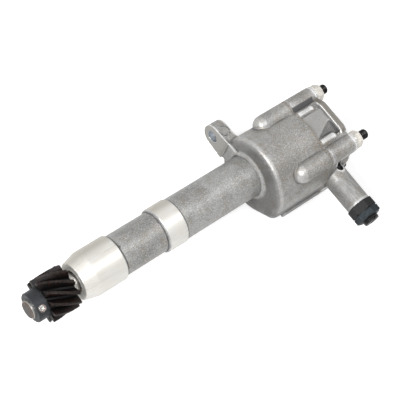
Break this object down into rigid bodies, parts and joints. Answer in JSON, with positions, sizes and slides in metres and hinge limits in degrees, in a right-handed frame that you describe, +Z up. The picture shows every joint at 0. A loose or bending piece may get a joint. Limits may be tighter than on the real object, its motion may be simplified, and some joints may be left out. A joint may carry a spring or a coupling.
{
  "type": "engine oil pump",
  "caption": "Long-necked rotor oil pump with a helical drive gear, pilot bands on the neck, a bolt lug and a side relief valve set by a screw.",
  "frame": {"origin": "on the drive shaft's axis, at the middle of the rear pilot band, which locates the pump in the engine block", "axes": "+X runs along the drive shaft from the gear to the cover, -Y is the side of the relief-valve tube, +Z is up, with the rotor housing's drawn-out side on top"},
  "size_m": [0.2656, 0.1198, 0.062],
  "materials": {
    "cast_body": "fine sand-cast, machined pilot bands",
    "cast_cover": "fine sand-cast",
    "gasket_paper": "brown oil-soaked gasket paper",
    "bronze": "bored bronze",
    "ground_steel": "ground",
    "black_steel": "black oxide with bright worn edges",
    "bright_pin": "turned",
    "sintered_steel": "sintered and ground",
    "dark_stud": "black oxide, threaded",
    "zinc_washer": "zinc plated",
    "zinc_nut": "zinc plated",
    "polished_plunger": "ground and polished",
    "spring_steel": "oil-tempered wire",
    "screw_steel": "plain, threaded",
    "black_nut": "black oxide",
    "blued_nut": "bluish grey"
  },
  "bodies": {
    "casing": {"pump_body": "cast_body", "rear_cover": "cast_cover", "cover_gasket": "gasket_paper", "nose_bush": "bronze", "body_bush": "bronze", "cover_bush": "bronze", "ring_dowels": "ground_steel", "body_studs": "dark_stud", "stud_washers": "zinc_washer", "stud_nuts": "zinc_nut", "relief_spring": "spring_steel", "spring_seat": "ground_steel", "adjusting_screw": "screw_steel", "adjuster_lock_nut": "black_nut", "adjuster_jam_nut": "blued_nut"},
    "drive": {"drive_shaft": "ground_steel", "helical_gear": "black_steel", "gear_pin": "bright_pin", "inner_rotor": "sintered_steel", "rotor_key": "ground_steel"},
    "outer_rotor": {"outer_rotor": "sintered_steel"},
    "relief_plunger": {"relief_plunger": "polished_plunger"}
  },
  "joints": [
    {"name": "shaft_turn", "type": "hinge", "parent": "casing", "child": "drive", "pos_m": [0, 0, 0], "axis": [1, 0, 0], "continuous": true},
    {"name": "outer_rotor_turn", "type": "hinge", "parent": "casing", "child": "outer_rotor", "pos_m": [0.10285, -0.0028, 0], "axis": [1, 0, 0], "continuous": true},
    {"name": "relief_slide", "type": "slide", "parent": "casing", "child": "relief_plunger", "axis": [0, -1, 0], "range_m": [0, 0.009], "stiffness_N_per_m": 2500, "springref_m": -0.004, "deforming": ["relief_spring"]}
  ],
  "couplings": [
    {"joint": "outer_rotor_turn", "follows": "shaft_turn", "ratio": 0.8}
  ]
}
